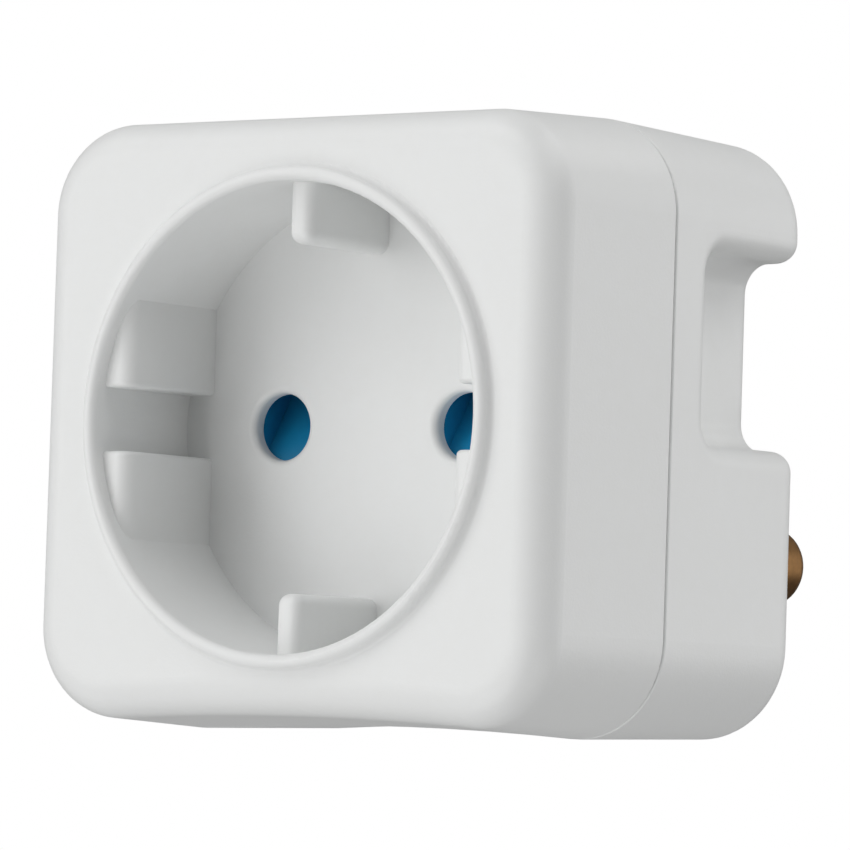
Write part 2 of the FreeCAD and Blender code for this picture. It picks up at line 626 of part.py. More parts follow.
def make_rear_shell():
    body = new_body("rear_shell")
    rim = seam_depth - size.seam_gap / 2
    rear_outline = new_sketch(body, "rear_shell_face", 0)
    casing_outline(rear_outline, size.rear_draft)
    front_outline = new_sketch(body, "rear_shell_rim", rim)
    casing_outline(front_outline, 0)
    block = body.newObject("PartDesign::AdditiveLoft", "rear_shell_block")
    block.Profile = rear_outline
    block.Sections = [front_outline]
    block.Ruled = True
    rounded = round_edges(body, block, size.rear_edge_radius, "rear_shell_rounding",
                          lambda edge: lies_at_depth(edge, as_size(0)))
    round_edges(body, rounded, size.rim_rounding, "rear_shell_rim_rounding",
                lambda edge: lies_at_depth(edge, rim))

    # Finger notches, open to the side and to the rear
    half_width = size.casing_width / 2
    for side, sign in SIDES:
        sketch = new_sketch(body, "notch_%s_outline" % side, 0)
        inner, outer = notch_x * sign, (half_width + size.casing_wall) * sign
        left, right = (inner, outer) if sign > 0 else (outer, inner)
        left_radius = size.notch_inner_radius if sign > 0 else None
        right_radius = None if sign > 0 else size.notch_inner_radius
        add_square_outline(sketch, [(left, size.notch_bottom, left_radius),
                                    (right, size.notch_bottom, right_radius),
                                    (right, size.notch_top, right_radius),
                                    (left, size.notch_top, left_radius)])
        last = cut(body, sketch, notch_length, "notch_%s" % side)
    last = round_edges(body, last, size.notch_front_radius, "notch_front_rounding", is_notch_front_edge)
    round_edges(body, last, size.notch_edge_radius, "notch_rounding", is_notch_side_edge)

    # The hollow: full width in front of the notches, then narrowed beside them
    cavity_inset = size.casing_wall + size.rear_draft
    notch_front = notch_length + size.notch_wall
    wide = new_sketch(body, "wide_hollow_outline", notch_front)
    casing_outline(wide, cavity_inset)
    cut(body, wide, rim - notch_front, "wide_hollow")
    narrow = new_sketch(body, "narrow_hollow_outline", size.rear_wall)
    side_x = half_width - cavity_inset
    top = size.casing_height / 2 - cavity_inset
    low, high = size.notch_bottom - size.notch_wall, size.notch_top + size.notch_wall
    corner = size.corner_radius - cavity_inset
    add_square_outline(narrow, [
        (-side_x, -top, corner), (side_x, -top, corner),
        (side_x, low, None), (notch_wall_x, low, None), (notch_wall_x, high, None), (side_x, high, None),
        (side_x, top, corner), (-side_x, top, corner),
        (-side_x, high, None), (-notch_wall_x, high, None), (-notch_wall_x, low, None),
        (-side_x, low, None)])
    cut(body, narrow, notch_front - size.rear_wall + size.overlap, "narrow_hollow")
    rebate = new_sketch(body, "rebate_outline", seam_depth - size.tongue_height)
    casing_outline(rebate, size.rim_inset - size.tongue_clearance)
    cut(body, rebate, size.tongue_height, "rebate")

    # Screw tubes, carrier bosses and the rests under the contacts
    tubes = new_sketch(body, "screw_tubes_outline", size.rear_wall - size.overlap)
    for side, sign in SIDES:
        for height, up in HEIGHTS:
            add_circle(tubes, screw_x * sign, screw_z * up, size.housing_tube_radius)
    pad(body, tubes, boss_face - size.rear_wall + size.overlap, "screw_tubes")
    counterbores = new_sketch(body, "counterbores_outline", 0)
    shanks = new_sketch(body, "shank_holes_outline", 0)
    for side, sign in SIDES:
        for height, up in HEIGHTS:
            add_circle(counterbores, screw_x * sign, screw_z * up,
                       size.housing_head_radius + size.screw_clearance)
            add_circle(shanks, screw_x * sign, screw_z * up,
                       size.housing_screw_radius + size.screw_clearance)
    cut(body, counterbores, size.housing_seat_depth, "counterbores")
    cut(body, shanks, boss_face + size.overlap, "shank_holes")
    carrier_bosses = new_sketch(body, "carrier_bosses_outline", size.rear_wall - size.overlap)
    carrier_threads = new_sketch(body, "carrier_threads_outline", plate_rear)
    for side, sign in SIDES:
        add_circle(carrier_bosses, carrier_screw_x * sign, size.carrier_screw_z, size.carrier_boss_radius)
        add_circle(carrier_threads, carrier_screw_x * sign, size.carrier_screw_z,
                   size.carrier_screw_radius + size.thread_clearance)
    pad(body, carrier_bosses, plate_rear - size.rear_wall + size.overlap, "carrier_bosses")
    cut(body, carrier_threads, size.carrier_screw_length, "carrier_threads", along_normal=False)
    rests = new_sketch(body, "contact_rests_outline", size.rear_wall - size.overlap)
    for side, sign in SIDES:
        centre = half_pitch * sign
        add_rectangle(rests, centre - size.leaf_half_gap, centre + size.leaf_half_gap,
                      -size.strap_half_width, size.strap_half_width)
    pad(body, rests, pin_seat - size.rear_wall + size.overlap, "contact_rests")

    # Holes for the three plug pins
    pin_holes = new_sketch(body, "pin_holes_outline", 0)
    for side, sign in SIDES:
        add_circle(pin_holes, size.live_pin_offset * sign, size.live_pin_height,
                   size.live_pin_radius + size.pin_hole_clearance)
    add_circle(pin_holes, 0, size.opening_pin_height, size.opening_pin_radius + size.pin_hole_clearance)
    cut(body, pin_holes, size.rear_wall + size.overlap, "pin_holes")
    return body


def is_notch_front_edge(edge):
    """The inner edges of a notch's front wall, without the one on the side of the casing."""
    inside = abs(edge.CenterOfMass.x) < (size.casing_width / 2 - size.rear_draft).number
    return lies_at_depth(edge, notch_length) and inside


def is_notch_side_edge(edge):
    """The four long edges where a notch's top or bottom runs out into the side of the casing."""
    box = edge.BoundBox
    long_way = box.YLength > notch_length.number / 2
    outside = abs(edge.CenterOfMass.x) > (size.casing_width / 2 - size.casing_wall).number
    middle = edge.CenterOfMass.z
    at_wall = near(middle, size.notch_top.number) or near(middle, size.notch_bottom.number)
    return long_way and outside and at_wall


def make_plug_pin(side, sign):
    """A turned brass pin. Its band centres it in the rear wall, and its flange rests on the wall inside."""
    body = new_body("plug_pin_" + side, size.live_pin_offset * sign, size.live_pin_height)
    sketch = new_sketch(body, "pin_profile_" + side, 0, "XY_Plane")
    bore = size.pin_screw_radius + size.thread_clearance
    bore_end = size.pin_screw_length + size.overlap - pin_seat
    radius, tip = size.live_pin_radius, size.live_pin_length
    neck = radius - size.pin_neck_relief
    band = size.pin_band_length - size.rear_wall
    add_polygon(sketch, [
        (0, tip), (radius, tip), (radius, 0), (neck, 0), (neck, band), (radius, band),
        (radius, -size.rear_wall), (size.pin_flange_radius, -size.rear_wall),
        (size.pin_flange_radius, -pin_seat),
        (bore, -pin_seat), (bore, bore_end), (0, bore_end)])
    turned = turn(body, sketch, "pin_turned_" + side)
    round_edges(body, turned, size.live_pin_rounding, "pin_tip_" + side,
                lambda edge: lies_at_depth(edge, -tip))
    return body


def make_opening_pin():
    """The plastic pin in the earth position. It opens the wall outlet's shutters and carries no current."""
    body = new_body("shutter_opening_pin", None, size.opening_pin_height)
    neck = new_sketch(body, "opening_neck_outline", size.rear_wall)
    add_circle(neck, 0, 0, size.opening_pin_radius - size.pin_neck_relief)
    pad(body, neck, size.rear_wall, "opening_neck", backwards=True)
    band = new_sketch(body, "opening_band_outline", size.rear_wall)
    add_circle(band, 0, 0, size.opening_pin_radius)
    pad(body, band, size.pin_band_length, "opening_band", backwards=True)
    shaft = new_sketch(body, "opening_shaft_outline", 0)
    add_circle(shaft, 0, 0, size.opening_pin_radius)
    shaft_pad = pad(body, shaft, size.opening_pin_length, "opening_shaft", backwards=True)
    round_edges(body, shaft_pad, size.opening_pin_rounding, "opening_tip",
                lambda edge: lies_at_depth(edge, -size.opening_pin_length))
    flange_half_height = shell_cavity_top - size.opening_flange_clearance - size.opening_pin_height
    flange = new_sketch(body, "opening_flange_outline", size.rear_wall)
    add_rectangle(flange, -size.opening_flange_half_width, size.opening_flange_half_width,
                  -flange_half_height, flange_half_height)
    pad(body, flange, size.opening_flange_thickness, "opening_flange")
    core = new_sketch(body, "opening_core_outline", size.rear_wall + size.opening_flange_thickness)
    add_circle(core, 0, 0, size.opening_pin_core)
    wall = size.opening_pin_radius - size.opening_pin_core
    depth = size.rear_wall + size.opening_flange_thickness + size.opening_pin_length - wall
    cut(body, core, depth, "opening_core", along_normal=False)
    return body


def make_contact_carrier():
    """The insulating block: a front plate, two contact chambers and the tubes that clamp the pins."""
    body = new_body("contact_carrier")
    half, tongue = carrier_half_width, size.carrier_tongue_half_width
    ear_in = carrier_half_width - size.carrier_ear_width
    foot = size.live_pin_offset + size.carrier_foot_margin
    plate = new_sketch(body, "carrier_plate_outline", plate_rear)
    add_square_outline(plate, [
        (-foot, tray_bottom, None), (foot, tray_bottom, None), (foot, tray_shelf, None),
        (half, tray_shelf, None), (half, size.carrier_ear_top, None), (ear_in, size.carrier_ear_top, None),
        (ear_in, size.carrier_plate_top, None), (tongue, size.carrier_plate_top, None),
        (tongue, carrier_tongue_top, None), (-tongue, carrier_tongue_top, None),
        (-tongue, size.carrier_plate_top, None), (-ear_in, size.carrier_plate_top, None),
        (-ear_in, size.carrier_ear_top, None), (-half, size.carrier_ear_top, None),
        (-half, tray_shelf, None), (-foot, tray_shelf, None)])
    pad(body, plate, size.carrier_plate, "carrier_plate_pad")

    chamber_depth = plate_rear - chamber_rear
    block_x = half_pitch + size.chamber_half_width + size.chamber_wall
    block_z = size.chamber_half_height + size.chamber_wall
    block = new_sketch(body, "chamber_block_outline", chamber_rear)
    add_rectangle(block, -block_x, block_x, -block_z, block_z)
    pad(body, block, chamber_depth + size.overlap, "chamber_block")
    tube_inner = size.pin_washer_radius + size.clamp_tube_clearance
    tubes = new_sketch(body, "clamp_tubes_outline", chamber_rear)
    post = new_sketch(body, "opening_post_outline",
                      size.rear_wall + size.opening_flange_thickness + size.clamp_gap)
    for side, sign in SIDES:
        add_circle(tubes, size.live_pin_offset * sign, size.live_pin_height,
                   tube_inner + size.clamp_tube_wall)
    pad(body, tubes, chamber_depth + size.overlap, "clamp_tubes")
    half_post = size.opening_post_half_width
    add_rectangle(post, -half_post, half_post, size.opening_pin_height - half_post, carrier_tongue_top)
    pad(body, post, plate_rear - size.rear_wall - size.opening_flange_thickness, "opening_post")

    chambers = new_sketch(body, "chambers_outline", chamber_rear)
    for side, sign in SIDES:
        centre = half_pitch * sign
        add_rectangle(chambers, centre - size.chamber_half_width, centre + size.chamber_half_width,
                      -size.chamber_half_height, size.chamber_half_height)
    cut(body, chambers, chamber_depth, "chambers")
    core_x = half_pitch - size.chamber_half_width - size.core_wall
    core = new_sketch(body, "carrier_core_outline", chamber_rear)
    add_rectangle(core, -core_x, core_x, -size.chamber_half_height, size.chamber_half_height)
    cut(body, core, chamber_depth - size.core_wall, "carrier_core")
    bores = new_sketch(body, "clamp_bores_outline", chamber_rear)
    for side, sign in SIDES:
        add_circle(bores, size.live_pin_offset * sign, size.live_pin_height, tube_inner)
    cut(body, bores, chamber_depth, "clamp_bores")
    holes = new_sketch(body, "carrier_holes_outline", plate_rear - size.overlap)
    for side, sign in SIDES:
        add_circle(holes, half_pitch * sign, 0, inner_hole)
        add_circle(holes, carrier_screw_x * sign, size.carrier_screw_z,
                   size.carrier_screw_radius + size.screw_clearance)
        add_circle(holes, locating_peg_x * sign, 0, size.locating_peg_radius + size.inner_hole_clearance)
    cut(body, holes, size.carrier_plate + size.overlap * 2, "carrier_holes")
    return body


def make_shutter_tray():
    """The open tray that the shutter slides in, with a pocket for its spring."""
    body = new_body("shutter_tray")
    top = tray_inner_top + size.tray_wall
    block = new_sketch(body, "tray_outline", plate_front)
    pocket_x = size.spring_pocket_half_width
    stem_x = pocket_x + size.tray_wall
    add_square_outline(block, [
        (-stem_x, tray_bottom, None), (stem_x, tray_bottom, None), (stem_x, tray_shelf, None),
        (tray_half_width, tray_shelf, None), (tray_half_width, top, None), (-tray_half_width, top, None),
        (-tray_half_width, tray_shelf, None), (-stem_x, tray_shelf, None)])
    height = floor_rear - size.clamp_gap - plate_front
    pad(body, block, height, "tray_block")
    slide_x = size.shutter_half_length + size.shutter_clearance
    room = new_sketch(body, "tray_room_outline", tray_floor)
    add_square_outline(room, [
        (-pocket_x, spring_bottom, None), (pocket_x, spring_bottom, None),
        (pocket_x, tray_inner_bottom, None), (slide_x, tray_inner_bottom, None),
        (slide_x, tray_inner_top, None), (-slide_x, tray_inner_top, None),
        (-slide_x, tray_inner_bottom, None), (-pocket_x, tray_inner_bottom, None)])
    cut(body, room, height, "tray_room")
    holes = new_sketch(body, "tray_holes_outline", plate_front - size.overlap)
    for side, sign in SIDES:
        add_circle(holes, half_pitch * sign, 0, inner_hole)
    cut(body, holes, size.tray_back + size.overlap * 2, "tray_holes")
    pegs = new_sketch(body, "locating_pegs_outline", plate_front + size.overlap)
    for side, sign in SIDES:
        add_circle(pegs, locating_peg_x * sign, 0, size.locating_peg_radius)
    pad(body, pegs, size.locating_peg_length + size.overlap, "locating_pegs", backwards=True)
    seat = new_sketch(body, "spring_seat_outline", spring_bottom - size.overlap, "XY_Plane")
    add_circle(seat, 0, -shutter_middle, size.shutter_peg_radius)
    pad(body, seat, size.tray_peg_length + size.overlap, "spring_seat")
    return body


def make_shutter():
    """The blue slide. A ramp behind each hole turns the push of a pin into a downward slide."""
    body = new_body("shutter")
    block = new_sketch(body, "shutter_outline", shutter_rear)
    add_rectangle(block, -size.shutter_half_length, size.shutter_half_length,
                  -size.shutter_half_height, size.shutter_half_height)
    pad(body, block, size.shutter_thickness, "shutter_block")
    for side, sign in SIDES:
        middle = half_pitch * sign
        ramp = new_sketch(body, "ramp_%s_outline" % side, middle - size.ramp_half_width, "YZ_Plane")
        add_polygon(ramp, [
            (-shutter_front, -size.shutter_half_height + size.ramp_lip),
            (-shutter_rear - size.ramp_lip, size.shutter_half_height),
            (-shutter_front, size.shutter_half_height)])
        cut(body, ramp, size.ramp_half_width * 2, "ramp_%s" % side)
    peg = new_sketch(body, "shutter_peg_outline", spring_top + size.overlap, "XY_Plane")
    add_circle(peg, 0, -shutter_middle, size.shutter_peg_radius)
    pad(body, peg, size.shutter_peg_length + size.overlap, "shutter_peg", backwards=True)
    return body


def make_shutter_spring():
    """A compression spring that stands between the tray and the shutter."""
    body = new_body("shutter_spring")
    wire = size.spring_wire / 2
    coil_height = size.spring_length - size.spring_wire - size.spring_end_gap * 2
    start = spring_bottom + wire + size.spring_end_gap
    body.setExpression("Placement.Base.y", (-shutter_middle).formula)
    body.setExpression("Placement.Base.z", start.formula)
    section = new_sketch(body, "wire_section", 0)
    add_circle(section, size.spring_mean_radius, 0, wire)
    coil = body.newObject("PartDesign::AdditiveHelix", "coil")
    coil.Profile = section
    coil.ReferenceAxis = (section, ["V_Axis"])
    coil.Mode = "height-turns-angle"
    coil.setExpression("Height", coil_height.formula)
    coil.setExpression("Turns", size.spring_turns.formula)
    return body


def make_socket_contact(side, sign):
    """A stamped strip: two leaves that grip a plug pin, and a strap to the brass pin."""
    body = new_body("socket_contact_" + side, half_pitch * sign)
    gap, pinch, metal = size.leaf_half_gap, size.pinch_half_gap, size.leaf_thickness
    tip = plate_rear - size.leaf_tip_gap
    pinch_front = tip - size.leaf_tip_length
    pinch_rear = pinch_front - size.pinch_length
    bend = pinch_rear - size.pinch_slope_length
    right_leaf = [
        (gap + metal, -pin_seat), (gap + metal, -bend), (pinch + metal, -pinch_rear),
        (pinch + metal, -pinch_front), (gap + metal, -tip), (gap, -tip),
        (pinch, -pinch_front), (pinch, -pinch_rear), (gap, -bend), (gap, -strap_front)]
    left_leaf = [(-x, y) for x, y in reversed(right_leaf)]
    leaves = new_sketch(body, "leaves_outline_" + side, -size.leaf_half_width, "XY_Plane")
    add_polygon(leaves, right_leaf + left_leaf)
    pad(body, leaves, size.leaf_half_width * 2, "leaves_" + side)

    eyelet_x = (size.live_pin_offset - half_pitch) * sign
    eyelet_z = size.live_pin_height
    half = size.strap_half_width
    strap = new_sketch(body, "strap_outline_" + side, pin_seat)
    add_polygon(strap, [(-half, 0), (eyelet_x - half, eyelet_z), (eyelet_x + half, eyelet_z), (half, 0)])
    pad(body, strap, size.contact_thickness, "strap_" + side)
    eyelet = new_sketch(body, "eyelet_outline_" + side, pin_seat)
    add_circle(eyelet, eyelet_x, eyelet_z, size.eyelet_radius)
    pad(body, eyelet, size.contact_thickness, "eyelet_" + side)
    hole = new_sketch(body, "eyelet_hole_outline_" + side, pin_seat - size.overlap)
    add_circle(hole, eyelet_x, eyelet_z, size.pin_screw_radius + size.screw_clearance)
    cut(body, hole, size.contact_thickness + size.overlap * 2, "eyelet_hole_" + side)
    return body


def make_contact_clip(side, sign):
    """A steel spring clip that presses the two leaves together."""
    body = new_body("contact_clip_" + side, half_pitch * sign)
    inner = size.pinch_half_gap + size.leaf_thickness + size.clip_clearance
    outer = inner + size.clip_thickness
    top = size.leaf_half_width + size.clip_clearance
    bottom = -top
    hook = inner - size.clip_hook
    pinch_middle = plate_rear - size.leaf_tip_gap - size.leaf_tip_length - size.pinch_length / 2
    sketch = new_sketch(body, "clip_outline_" + side, pinch_middle - size.clip_width / 2)
    add_square_outline(sketch, [
        (hook, bottom - size.clip_thickness, None), (outer, bottom - size.clip_thickness, None),
        (outer, top + size.clip_thickness, None), (-outer, top + size.clip_thickness, None),
        (-outer, bottom - size.clip_thickness, None), (-hook, bottom - size.clip_thickness, None),
        (-hook, bottom, None), (-inner, bottom, None), (-inner, top, None),
        (inner, top, None), (inner, bottom, None), (hook, bottom, None)])
    pad(body, sketch, size.clip_width, "clip_" + side)
    return body


def make_screw(label, x, z, seat_depth, head_radius, head_height, shank_radius, length, towards_rear):
    """A pan-head screw with a cross slot. Its head faces the rear (+Y) or the front (-Y)."""
    body = new_body(label, x, z)
    out = 1 if towards_rear else -1
    seat = -seat_depth
    profile = new_sketch(body, label + "_profile", 0, "XY_Plane")
    head_top = seat + head_height * out
    tip = seat - length * out
    cone = tip + size.screw_tip_length * out
    points = [
        (0, head_top), (head_radius - size.screw_head_rounding, head_top),
        (head_radius, head_top - size.screw_head_rounding * out), (head_radius, seat),
        (shank_radius, seat), (shank_radius, cone), (shank_radius / 2, tip), (0, tip)]
    add_polygon(profile, points)
    turn(body, profile, label + "_turned")
    half_slot = size.cross_slot_width / 2
    arm = head_radius - size.screw_head_rounding - half_slot
    cross = new_sketch(body, label + "_cross", -head_top)
    add_square_outline(cross, [
        (-half_slot, -arm, None), (half_slot, -arm, None), (half_slot, -half_slot, None),
        (arm, -half_slot, None), (arm, half_slot, None), (half_slot, half_slot, None),
        (half_slot, arm, None), (-half_slot, arm, None), (-half_slot, half_slot, None),
        (-arm, half_slot, None), (-arm, -half_slot, None), (-half_slot, -half_slot, None)])
    cut(body, cross, size.cross_slot_depth, label + "_slot", along_normal=towards_rear)
    return body


def make_pin_washer(side, sign):
    body = new_body("pin_washer_" + side, size.live_pin_offset * sign, size.live_pin_height)
    ring = new_sketch(body, "washer_outline_" + side, strap_front)
    add_circle(ring, 0, 0, size.pin_washer_radius)
    add_circle(ring, 0, 0, size.pin_screw_radius + size.screw_clearance)
    pad(body, ring, size.pin_washer_thickness, "washer_" + side)
    return body


def make_all():
    bodies = [make_front_cover(), make_rear_shell(), make_contact_carrier(), make_shutter_tray(),
              make_shutter(), make_shutter_spring(), make_opening_pin()]
    for side, sign in SIDES:
        bodies.append(make_plug_pin(side, sign))
        bodies.append(make_socket_contact(side, sign))
        bodies.append(make_contact_clip(side, sign))
        bodies.append(make_pin_washer(side, sign))
        bodies.append(make_screw(
            "pin_screw_" + side, size.live_pin_offset * sign, size.live_pin_height,
            strap_front + size.pin_washer_thickness, size.pin_head_radius, size.pin_head_height,
            size.pin_screw_radius, size.pin_screw_length, False))
        bodies.append(make_screw(
            "carrier_screw_" + side, carrier_screw_x * sign, size.carrier_screw_z,
            plate_front, size.carrier_head_radius, size.carrier_head_height,
            size.carrier_screw_radius, size.carrier_screw_length, False))
        for height, up in HEIGHTS:
            bodies.append(make_screw(
                "housing_screw_%s_%s" % (height, side), screw_x * sign, screw_z * up,
                size.housing_seat_depth, size.housing_head_radius, size.housing_head_height,
                size.housing_screw_radius, size.housing_screw_length, True))
    return bodies


def check_document(bodies):
    document.recompute()
    for item in document.Objects:
        if "Invalid" in item.State or "Error" in item.State:
            raise RuntimeError("%s is %s" % (item.Label, item.State))
        if item.TypeId == "PartDesign::Pocket":
            removed = item.BaseFeature.Shape.Volume - item.Shape.Volume
            if removed < SMALLEST_LENGTH:
                raise RuntimeError("%s cuts nothing" % item.Label)
    for body in bodies:
        shape = body.Shape
        if shape.isNull() or not shape.isValid() or len(shape.Solids) != 1:
            raise RuntimeError("%s isn't one valid solid" % body.Label)


def write_parts(bodies):
    os.makedirs("parts", exist_ok=True)
    for body in bodies:
        body.Shape.exportStep(os.path.join("parts", body.Label + ".step"))
        box = body.Shape.BoundBox
        print("%-28s volume %9.2f  x %7.2f %7.2f  y %7.2f %7.2f  z %7.2f %7.2f" % (
            body.Label, body.Shape.Volume, box.XMin, box.XMax, box.YMin, box.YMax, box.ZMin, box.ZMax))


all_bodies = make_all()
check_document(all_bodies)
write_parts(all_bodies)
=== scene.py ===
# Looks of the white two-pole plug adapter: the finish of every piece, the camera, the light and the floor.
# Lengths are in metres, and MM turns millimetres into them. +Y points into the wall and +Z is up.

import json
import math

import bpy
from mathutils import Matrix, Vector


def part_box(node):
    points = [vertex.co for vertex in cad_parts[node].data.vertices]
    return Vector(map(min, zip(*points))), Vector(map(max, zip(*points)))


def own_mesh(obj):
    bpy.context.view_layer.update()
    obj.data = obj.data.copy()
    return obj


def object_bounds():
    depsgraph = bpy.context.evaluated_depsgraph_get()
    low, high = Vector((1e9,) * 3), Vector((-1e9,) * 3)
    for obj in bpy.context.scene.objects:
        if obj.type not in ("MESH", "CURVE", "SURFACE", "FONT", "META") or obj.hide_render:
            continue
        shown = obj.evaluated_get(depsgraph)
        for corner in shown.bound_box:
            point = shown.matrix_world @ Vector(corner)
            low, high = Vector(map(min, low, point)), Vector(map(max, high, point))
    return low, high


MM = 0.001
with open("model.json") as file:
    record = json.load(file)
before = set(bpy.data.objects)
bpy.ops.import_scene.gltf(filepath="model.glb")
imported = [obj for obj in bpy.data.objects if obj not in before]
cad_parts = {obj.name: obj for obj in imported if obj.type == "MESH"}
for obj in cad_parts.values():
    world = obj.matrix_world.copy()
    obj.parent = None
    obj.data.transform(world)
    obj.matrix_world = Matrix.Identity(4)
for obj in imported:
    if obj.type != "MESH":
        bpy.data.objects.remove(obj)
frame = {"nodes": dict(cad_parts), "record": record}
cad_low, cad_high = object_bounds()

# Camera: where it stands and how it is turned, fitted to the photograph. Lens and sensor are in millimetres.

CAMERA_AZIMUTH = math.radians(35.99)
CAMERA_LIFT = math.radians(-3.06)
CAMERA_ROLL = math.radians(1.86)
CAMERA_DISTANCE = 488.55 * MM
CAMERA_SHIFT_RIGHT = -12.24 * MM
CAMERA_SHIFT_UP = 0.71 * MM
CAMERA_LENS = 251.35
SENSOR_WIDTH = 36.0
NEAREST_SEEN = 0.01
FARTHEST_SEEN = 10.0

# Colours, as linear red, green and blue

WHITE_SHELL = (0.79, 0.80, 0.80)
WHITE_SHELL_WARM = (0.77, 0.775, 0.765)
SHUTTER_BLUE = (0.010, 0.25, 0.50)
SHUTTER_BLUE_PALE = (0.018, 0.30, 0.58)
CARRIER_IVORY = (0.60, 0.55, 0.44)
CARRIER_IVORY_DARK = (0.52, 0.46, 0.35)
TRAY_GREY = (0.27, 0.29, 0.31)
TRAY_GREY_DARK = (0.20, 0.22, 0.24)
BRASS = (0.24, 0.122, 0.038)
BRASS_TARNISH = (0.14, 0.07, 0.021)
CONTACT_BRASS = (0.66, 0.49, 0.23)
CONTACT_BRASS_TARNISH = (0.36, 0.24, 0.12)
STEEL = (0.56, 0.57, 0.58)
STEEL_DULL = (0.34, 0.35, 0.36)
ZINC = (0.62, 0.63, 0.62)
ZINC_DULL = (0.42, 0.43, 0.40)
FLOOR_GREY = (0.86, 0.86, 0.86)
PURE_WHITE = (1.0, 1.0, 1.0)


# Shader node groups shared by several materials

def new_group(name, inputs, outputs):
    """An empty shader node group with float and colour sockets, given as name, kind and start value."""
    group = bpy.data.node_groups.new(name, "ShaderNodeTree")
    for socket_name, kind, start in inputs:
        socket = group.interface.new_socket(socket_name, in_out="INPUT", socket_type=kind)
        socket.default_value = start
    for socket_name, kind in outputs:
        group.interface.new_socket(socket_name, in_out="OUTPUT", socket_type=kind)
    group_in = group.nodes.new("NodeGroupInput")
    group_out = group.nodes.new("NodeGroupOutput")
    return group, group_in, group_out


def feed(tree, target, value):
    """Gives an input its value, which is a number or another node's socket."""
    if isinstance(value, bpy.types.NodeSocket):
        tree.links.new(value, target)
    else:
        target.default_value = value


def add_math(tree, operation, first, second):
    """A math node whose two inputs are sockets or numbers. Returns its result."""
    node = tree.nodes.new("ShaderNodeMath")
    node.operation = operation
    feed(tree, node.inputs[0], first)
    feed(tree, node.inputs[1], second)
    return node.outputs[0]


def add_noise(tree, coordinates, scale, detail, roughness):
    """A noise texture, whose scale is a socket or a number. Returns its value."""
    node = tree.nodes.new("ShaderNodeTexNoise")
    settings = {"Vector": coordinates, "Scale": scale, "Detail": detail, "Roughness": roughness}
    for name, value in settings.items():
        feed(tree, node.inputs[name], value)
    return node.outputs["Fac"]


# Noises of the finishes. A scale is in cells per metre of Object coordinates.

WAVE_SCALE = 90.0
WAVE_SHARE = 0.25
WAVE_DETAIL = 1.0
WAVE_ROUGHNESS = 0.4
GRAIN_DETAIL = 2.0
GRAIN_ROUGHNESS = 0.6
PATCH_DETAIL = 3.0
PATCH_ROUGHNESS = 0.55
SPECKLE_DETAIL = 2.0
SPECKLE_ROUGHNESS = 0.5
LINE_SCALE = 60.0
LINE_DETAIL = 3.0
LINE_ROUGHNESS = 0.7
SCRATCH_SCALE = 1400.0
SCRATCH_DETAIL = 4.0
SCRATCH_ROUGHNESS = 0.75


def object_coordinates(tree):
    return tree.nodes.new("ShaderNodeTexCoord").outputs["Object"]


def make_grain_group():
    """Spark-eroded mould grain: fine height over a broad, faint waviness."""
    group, inside, out = new_group(
        "mould_grain",
        (("Grain Scale", "NodeSocketFloat", 1.0),),
        (("Height", "NodeSocketFloat"),))
    place = object_coordinates(group)
    grain = add_noise(group, place, inside.outputs["Grain Scale"], GRAIN_DETAIL, GRAIN_ROUGHNESS)
    wave = add_noise(group, place, WAVE_SCALE, WAVE_DETAIL, WAVE_ROUGHNESS)
    height = add_math(group, "ADD", add_math(group, "MULTIPLY", wave, WAVE_SHARE), grain)
    group.links.new(height, out.inputs["Height"])
    return group


def make_drift_group():
    """A slow drift between two colours, with a finer speckle on top."""
    group, inside, out = new_group(
        "colour_drift",
        (("First", "NodeSocketColor", (1, 1, 1, 1)), ("Second", "NodeSocketColor", (1, 1, 1, 1)),
         ("Patch Scale", "NodeSocketFloat", 1.0), ("Speckle Scale", "NodeSocketFloat", 1.0),
         ("Contrast", "NodeSocketFloat", 1.0)),
        (("Colour", "NodeSocketColor"), ("Mask", "NodeSocketFloat")))
    place = object_coordinates(group)
    patches = add_noise(group, place, inside.outputs["Patch Scale"], PATCH_DETAIL, PATCH_ROUGHNESS)
    speckle = add_noise(group, place, inside.outputs["Speckle Scale"], SPECKLE_DETAIL, SPECKLE_ROUGHNESS)
    middle = 0.5
    mean = add_math(group, "MULTIPLY", add_math(group, "ADD", patches, speckle), 1 / 2)
    centred = add_math(group, "SUBTRACT", mean, middle)
    spread = add_math(group, "MULTIPLY", centred, inside.outputs["Contrast"])
    mask = group.nodes.new("ShaderNodeClamp")
    group.links.new(add_math(group, "ADD", spread, middle), mask.inputs["Value"])
    mix = group.nodes.new("ShaderNodeMix")
    mix.data_type = "RGBA"
    group.links.new(mask.outputs[0], mix.inputs["Factor"])
    group.links.new(inside.outputs["First"], mix.inputs["A"])
    group.links.new(inside.outputs["Second"], mix.inputs["B"])
    group.links.new(mix.outputs["Result"], out.inputs["Colour"])
    group.links.new(mask.outputs[0], out.inputs["Mask"])
    return group


